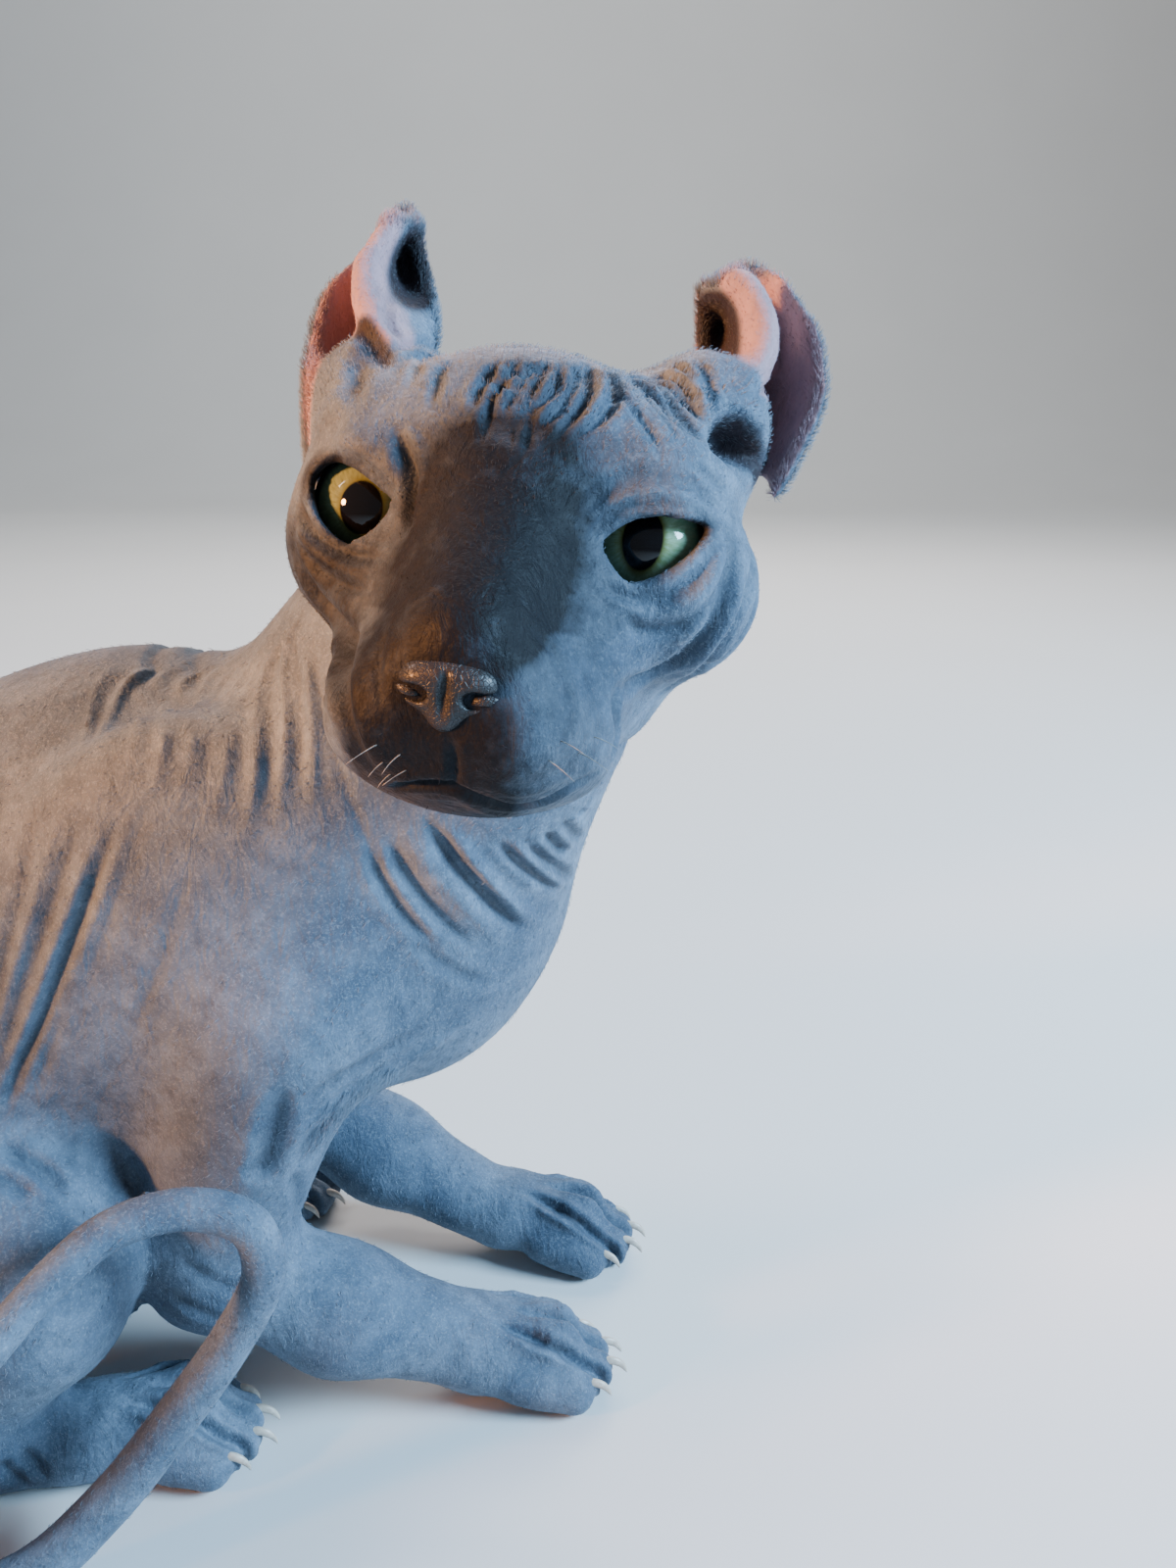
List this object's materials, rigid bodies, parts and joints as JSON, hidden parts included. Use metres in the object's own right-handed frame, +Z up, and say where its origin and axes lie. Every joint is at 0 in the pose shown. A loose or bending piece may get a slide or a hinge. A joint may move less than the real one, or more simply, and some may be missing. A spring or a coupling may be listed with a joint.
{
  "type": "sphynx cat",
  "caption": "Life-size sphynx cat crouching on its belly, head turned to its right, tail curled into a loop along its right side, curled ears, blue-grey bare skin; a still museum-like model.",
  "frame": {"origin": "centre of the box round the part, on the floor that the cat lies on", "axes": "+X the way the body faces, from tail to forepaws, +Y the cat's left side, +Z up"},
  "size_m": [0.3158, 0.1922, 0.2743],
  "materials": {
    "skin": "satin",
    "ear_skin": "satin",
    "nose_leather": "satin",
    "eye": "glossy"
  },
  "bodies": {
    "root": {"head": "skin", "neck": "skin", "fore_paw_right": "skin", "hind_paw_right": "skin", "fore_paw_left": "skin", "hind_paw_left": "skin", "upper_arm_right": "skin", "forearm_right": "skin", "thigh_right": "skin", "shank_right": "skin", "upper_arm_left": "skin", "forearm_left": "skin", "thigh_left": "skin", "shank_left": "skin", "torso_rear": "skin", "torso_front": "skin", "tail_base": "skin", "tail_middle": "skin", "tail_lower": "skin", "tail_rise": "skin", "tail_bend": "skin", "tail_tip": "skin", "ear_left": "ear_skin", "ear_right": "ear_skin", "nose": "nose_leather", "eye_right": "eye", "eye_left": "eye"}
  },
  "joints": []
}
